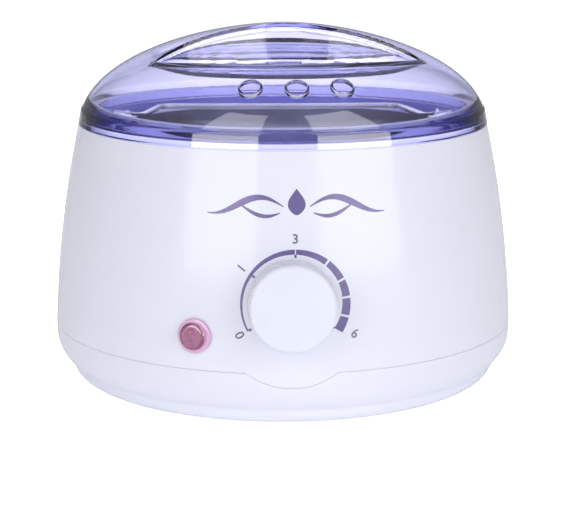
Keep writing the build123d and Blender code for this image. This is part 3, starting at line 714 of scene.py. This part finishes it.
def make_numerals():
    """Plain numerals outside the scale, each turned to sit square on its radius."""
    labels = (("0", DIAL_OFF, 22.6, 60), ("1", DIAL_ON, 22.6, -52),
              ("3", 0.0, 22.9, 0), ("6", DIAL_HIGH - 4, 23.6, 28))
    bm = bmesh.new()
    for text, degrees, radius, lean in labels:
        letter = bpy.data.curves.new("numeral", "FONT")
        letter.body = text
        letter.size = 4.6
        letter.offset = 0.08
        letter.extrude = 0.04
        letter.align_x = "CENTER"
        letter.align_y = "CENTER"
        letter.resolution_u = 8
        holder = bpy.data.objects.new("numeral", letter)
        bpy.context.scene.collection.objects.link(holder)
        view = bpy.context.evaluated_depsgraph_get()
        shape = bpy.data.meshes.new_from_object(holder.evaluated_get(view))
        bpy.data.objects.remove(holder)
        turn = math.radians(lean)
        cx, cz = dial_point(degrees, radius)
        for vertex in shape.vertices:
            x, y, deep = vertex.co
            vertex.co = on_wall(cx + x * math.cos(turn) + y * math.sin(turn),
                                cz - x * math.sin(turn) + y * math.cos(turn), deep)
        bm.from_mesh(shape)
    bmesh.ops.remove_doubles(bm, verts=bm.verts, dist=0.000002)
    place("dial_numerals", finished(bm, "dial_numerals"), "warmer", grey_ink, False)


def stroke(bm, start, stop, path, width, steps=48):
    """A pen stroke along a path, its width following a formula."""
    rows = []
    for i in range(steps + 1):
        t = start + (stop - start) * i / steps
        x, z = path(t)
        ahead_x, ahead_z = path(t + 0.001)
        length = math.hypot(ahead_x - x, ahead_z - z)
        nx, nz = -(ahead_z - z) / length, (ahead_x - x) / length
        half = width(t) / 2
        rows.append([(x + nx * half * k, z + nz * half * k) for k in (-1, -0.33, 0.33, 1)])
    slab(bm, rows)


def make_ornament():
    """A plain drop between two pairs of tapered swashes, above the dial."""
    bm = bmesh.new()
    mid_x, mid_z = ORNAMENT_X, ORNAMENT_Z
    rows = []
    for i in range(25):
        t = 0.02 + 0.96 * i / 24
        half = 2.7 * math.sin(math.pi * t) ** 0.75 * (1 - t) ** 0.45 * 1.5
        rows.append([(mid_x + half * k, mid_z - 4.4 + 9.4 * t) for k in (-1, -0.5, 0, 0.5, 1)])
    slab(bm, rows)
    for side in (-1, 1):
        def long_swash(t):
            return (mid_x + side * (4.6 + 26.5 * t),
                    mid_z - 1.4 + 3.5 * math.sin(4.9 * t) * (1 - 0.25 * t))

        def short_swash(t):
            return (mid_x + side * (5.8 + 14.0 * t),
                    mid_z - 3.5 - 1.5 * math.sin(3.6 * t) + 2.2 * t * t)

        stroke(bm, 0.0, 1.0, long_swash, lambda t: 0.35 + 1.9 * math.sin(math.pi * t) ** 1.3)
        stroke(bm, 0.0, 1.0, short_swash, lambda t: 0.3 + 1.1 * math.sin(math.pi * t))
    place("front_ornament", finished(bm, "front_ornament"), "warmer", ink, False)


make_scale()
make_numerals()
make_ornament()

# ---------------------------------------------------------------- studio

FLOOR_HALF = 3.0
FLOOR_SEEN = 0.82
FLOOR_THROUGH_LID = 0.5
FLOOR_GLOW = 0.12
WORLD_SEEN = 1.05
WORLD_GLOW = 0.33
CARD_CENTRE_Z = 0.09
CARD_ROWS = 12
CARD_COLUMNS = 6
VIEW_BEARING = math.radians(-2.2)
VIEW_RISE = math.radians(12.5)
VIEW_DISTANCE = 0.70
AIM_Z = 0.0432
AIM_SIDE = 0.0016


def make_floor():
    """A pale floor that glows white to the camera and through the clear lid."""
    mesh = bpy.data.meshes.new("floor")
    corners = [(x * FLOOR_HALF, y * FLOOR_HALF, 0) for x, y in ((-1, -1), (1, -1), (1, 1), (-1, 1))]
    mesh.from_pydata(corners, [], [(0, 1, 2, 3)])
    floor = bpy.data.objects.new("floor", mesh)
    bpy.context.scene.collection.objects.link(floor)
    pale = Paint("pale_floor", Base_Color=(0.95, 0.95, 0.96), Roughness=0.7)
    ray = pale.node("ShaderNodeLightPath")
    seen = Number(pale, ray.outputs["Is Camera Ray"]) * FLOOR_SEEN
    seen = seen + Number(pale, ray.outputs["Transmission Depth"]).clamped() * FLOOR_THROUGH_LID
    glow = pale.node("ShaderNodeEmission", {}, {"Color": (1.0, 1.0, 1.0), "Strength": 1.0})
    dark = pale.node("ShaderNodeEmission", {}, {
        "Color": (0.9, 0.93, 1.0), "Strength": FLOOR_GLOW})
    lift = pale.node("ShaderNodeMixShader", {}, {0: seen, 1: dark.outputs[0], 2: glow.outputs[0]})
    both = pale.node("ShaderNodeAddShader", {}, {0: pale.shader.outputs[0], 1: lift.outputs[0]})
    pale.feed(pale.out.inputs["Surface"], both.outputs[0])
    mesh.materials.append(pale.material)


def softbox(name, bearing, height, distance, width, tall, power, aim_z):
    """A rectangular studio lamp aimed at the warmer."""
    lamp = bpy.data.lights.new(name, "AREA")
    lamp.shape = "RECTANGLE"
    lamp.size = width
    lamp.size_y = tall
    lamp.energy = power
    stand = bpy.data.objects.new(name, lamp)
    turn = math.radians(bearing)
    at = Vector((distance * math.sin(turn), -distance * math.cos(turn), height))
    stand.location = at
    stand.visible_glossy = False
    stand.rotation_euler = (Vector((0, 0, aim_z)) - at).to_track_quat("-Z", "Y").to_euler()
    bpy.context.scene.collection.objects.link(stand)


def card_mesh(name, left, right, low, high):
    """Part of a sphere of radius 1 m between two bearings and two heights."""
    rows = []
    sheet = bmesh.new()
    for i in range(CARD_ROWS + 1):
        rise = math.radians(low + (high - low) * i / CARD_ROWS)
        row = []
        for k in range(CARD_COLUMNS + 1):
            turn = math.radians(left + (right - left) * k / CARD_COLUMNS)
            row.append(sheet.verts.new((math.cos(rise) * math.sin(turn),
                                        -math.cos(rise) * math.cos(turn),
                                        CARD_CENTRE_Z + math.sin(rise))))
        rows.append(row)
    for here, after in zip(rows, rows[1:]):
        for k in range(CARD_COLUMNS):
            sheet.faces.new((here[k], here[k + 1], after[k + 1], after[k]))
    mesh = bpy.data.meshes.new(name)
    sheet.to_mesh(mesh)
    sheet.free()
    return mesh


def reflector(name, left, right, low, high, brightness):
    """A bright curved card that only gloss mirrors."""
    mesh = card_mesh(name, left, right, low, high)
    card = bpy.data.objects.new(name, mesh)
    bpy.context.scene.collection.objects.link(card)
    finish = Paint(name)
    bright = finish.node("ShaderNodeEmission", {}, {
        "Color": (1.0, 1.0, 1.0), "Strength": brightness})
    finish.feed(finish.out.inputs["Surface"], bright.outputs[0])
    mesh.materials.append(finish.material)
    card.visible_camera = False
    card.visible_diffuse = False
    card.visible_transmission = False
    card.visible_shadow = False
    card.visible_volume_scatter = False


def backdrop(tree, colour, strength):
    """One even background colour of the world."""
    made = tree.nodes.new("ShaderNodeBackground")
    made.inputs["Color"].default_value = (*colour, 1)
    made.inputs["Strength"].default_value = strength
    return made.outputs[0]


def make_world():
    """White where the camera sees it, itself or through the lid, and a dimmer light elsewhere."""
    world = bpy.data.worlds.new("studio")
    bpy.context.scene.world = world
    world.use_nodes = True
    sky = world.node_tree
    sky.nodes.clear()
    out = sky.nodes.new("ShaderNodeOutputWorld")
    path = sky.nodes.new("ShaderNodeLightPath")
    either = sky.nodes.new("ShaderNodeMath")
    either.use_clamp = True
    sky.links.new(path.outputs["Is Camera Ray"], either.inputs[0])
    sky.links.new(path.outputs["Transmission Depth"], either.inputs[1])
    both = sky.nodes.new("ShaderNodeMixShader")
    sky.links.new(either.outputs[0], both.inputs[0])
    sky.links.new(backdrop(sky, (0.96, 0.97, 1.0), WORLD_GLOW), both.inputs[1])
    sky.links.new(backdrop(sky, (1, 1, 1), WORLD_SEEN), both.inputs[2])
    sky.links.new(both.outputs[0], out.inputs["Surface"])


def make_camera():
    """The camera, a little to the left of the front and above the warmer."""
    lens = bpy.data.cameras.new("camera")
    lens.lens = 110.0
    lens.sensor_width = 36.0
    lens.clip_start = 0.01
    camera = bpy.data.objects.new("camera", lens)
    toward = Vector((math.sin(VIEW_BEARING), -math.cos(VIEW_BEARING), 0))
    beside = Vector((math.cos(VIEW_BEARING), math.sin(VIEW_BEARING), 0))
    aim = beside * AIM_SIDE + Vector((0, 0, AIM_Z))
    reach = toward * math.cos(VIEW_RISE) + Vector((0, 0, math.sin(VIEW_RISE)))
    camera.location = aim + reach * VIEW_DISTANCE
    camera.rotation_euler = (-reach).to_track_quat("-Z", "Y").to_euler()
    bpy.context.scene.collection.objects.link(camera)
    bpy.context.scene.camera = camera


make_floor()
softbox("left_softbox", -36, 0.40, 0.95, 0.58, 0.75, 2.7, 0.07)
softbox("right_softbox", 36, 0.40, 0.95, 0.72, 0.75, 3.2, 0.07)
softbox("top_softbox", 180, 1.1, 0.35, 0.9, 0.9, 2.0, 0.05)
softbox("rear_softbox", 180, 0.45, 1.3, 1.1, 0.6, 2.2, 0.05)
for side, left, right in (("left", -51, -15), ("right", 16, 57)):
    reflector(side + "_low_card", left, right, -2, 16, 9.0)
    reflector(side + "_middle_card", left, right, 16, 34, 4.0)
    reflector(side + "_high_card", left, right, 34, 62, 5.0)
make_world()
make_camera()
bpy.context.scene.view_settings.view_transform = "Standard"
